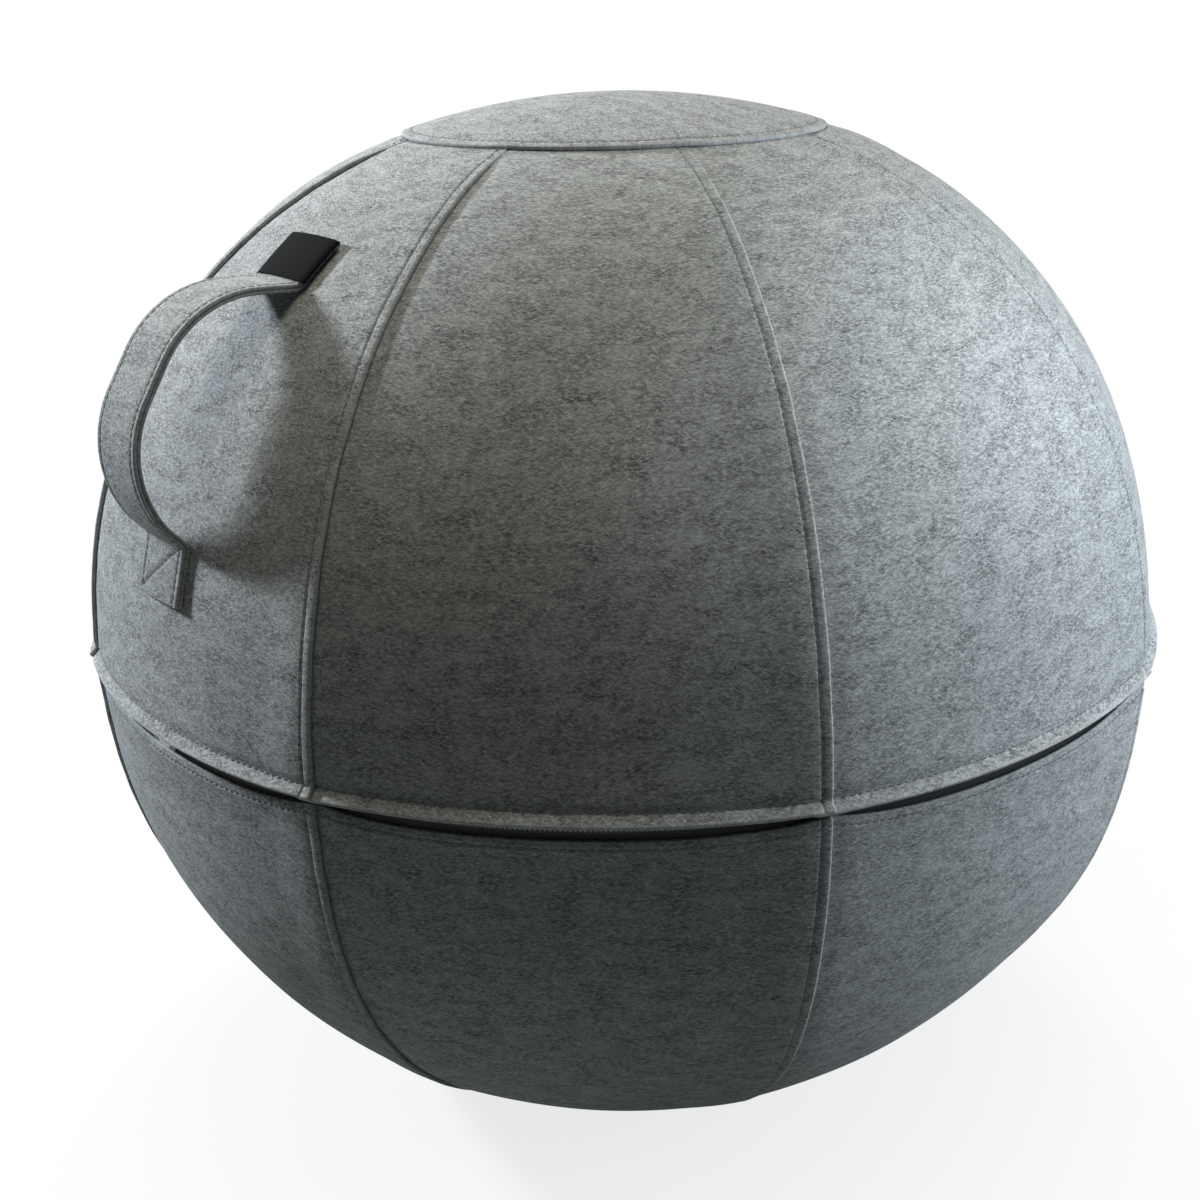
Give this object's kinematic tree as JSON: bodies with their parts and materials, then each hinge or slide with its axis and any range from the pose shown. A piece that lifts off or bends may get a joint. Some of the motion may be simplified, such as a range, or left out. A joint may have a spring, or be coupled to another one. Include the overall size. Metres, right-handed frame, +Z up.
{
  "type": "sitting ball",
  "caption": "Round sitting ball in a panelled grey felt cover that zips open round its middle, with a felt carrying strap and an inflated bladder inside.",
  "frame": {"origin": "on the floor, at the centre of the flat base, under the ball's axis", "axes": "+Z up along the ball's axis, -Y towards the carrying handle, so +X is to the right when the handle is seen from the front"},
  "size_m": [0.658, 0.658, 0.6091],
  "materials": {
    "felt": "needle felt, melange grey, matt and slightly hairy",
    "grip_cloth": "coated anti-slip cloth, matt",
    "zip_tape": "woven tape, black",
    "zip_coil": "black nylon coil",
    "zip_metal": "black painted zinc",
    "label_cloth": "woven satin label, black and bare",
    "bladder_pvc": "soft vinyl, satin",
    "valve_plastic": "moulded, matt",
    "plug_plastic": "moulded, matt white"
  },
  "bodies": {
    "ball": {"bladder": "bladder_pvc", "valve_seat": "valve_plastic", "valve_plug": "plug_plastic", "base_disc": "grip_cloth", "lower_panel_1": "felt", "lower_panel_2": "felt", "lower_panel_3": "felt", "lower_panel_4": "felt", "lower_panel_5": "felt", "lower_panel_6": "felt", "lower_panel_7": "felt", "lower_panel_8": "felt", "zip_tape_lower": "zip_tape", "zip_coil_lower": "zip_coil", "zip_stops": "zip_metal", "seam_tape": "zip_tape"},
    "upper_cover": {"top_disc": "felt", "upper_panel_1": "felt", "upper_panel_2": "felt", "upper_panel_3": "felt", "upper_panel_4": "felt", "upper_panel_5": "felt", "upper_panel_6": "felt", "upper_panel_7": "felt", "upper_panel_8": "felt", "zip_tape_upper": "zip_tape", "zip_coil_upper": "zip_coil", "handle_lower_end": "felt", "handle_upper_end": "felt", "label": "label_cloth"},
    "handle": {"handle_arch": "felt"},
    "slider": {"zip_slider": "zip_metal"},
    "pull": {"zip_pull": "zip_metal"}
  },
  "joints": [
    {"name": "cover_open", "type": "hinge", "parent": "ball", "child": "upper_cover", "pos_m": [0, 0.3293, 0.3], "axis": [-1, 0, 0], "range_deg": [0, 105], "deforming": ["seam_tape"]},
    {"name": "zip_run", "type": "hinge", "parent": "ball", "child": "slider", "pos_m": [0, 0, 0.3], "axis": [0, 0, 1], "range_deg": [-332.8, 0]},
    {"name": "pull_flip", "type": "hinge", "parent": "slider", "child": "pull", "pos_m": [0.07671, 0.31764, 0.3], "axis": [0, 0, 1], "range_deg": [0, 180]},
    {"name": "handle_swing", "type": "hinge", "parent": "upper_cover", "child": "handle", "pos_m": [0, -0.3199, 0.4214], "axis": [0, 0.5514, 0.8342], "range_deg": [-20, 20], "stiffness_Nm_per_rad": 0.6}
  ]
}
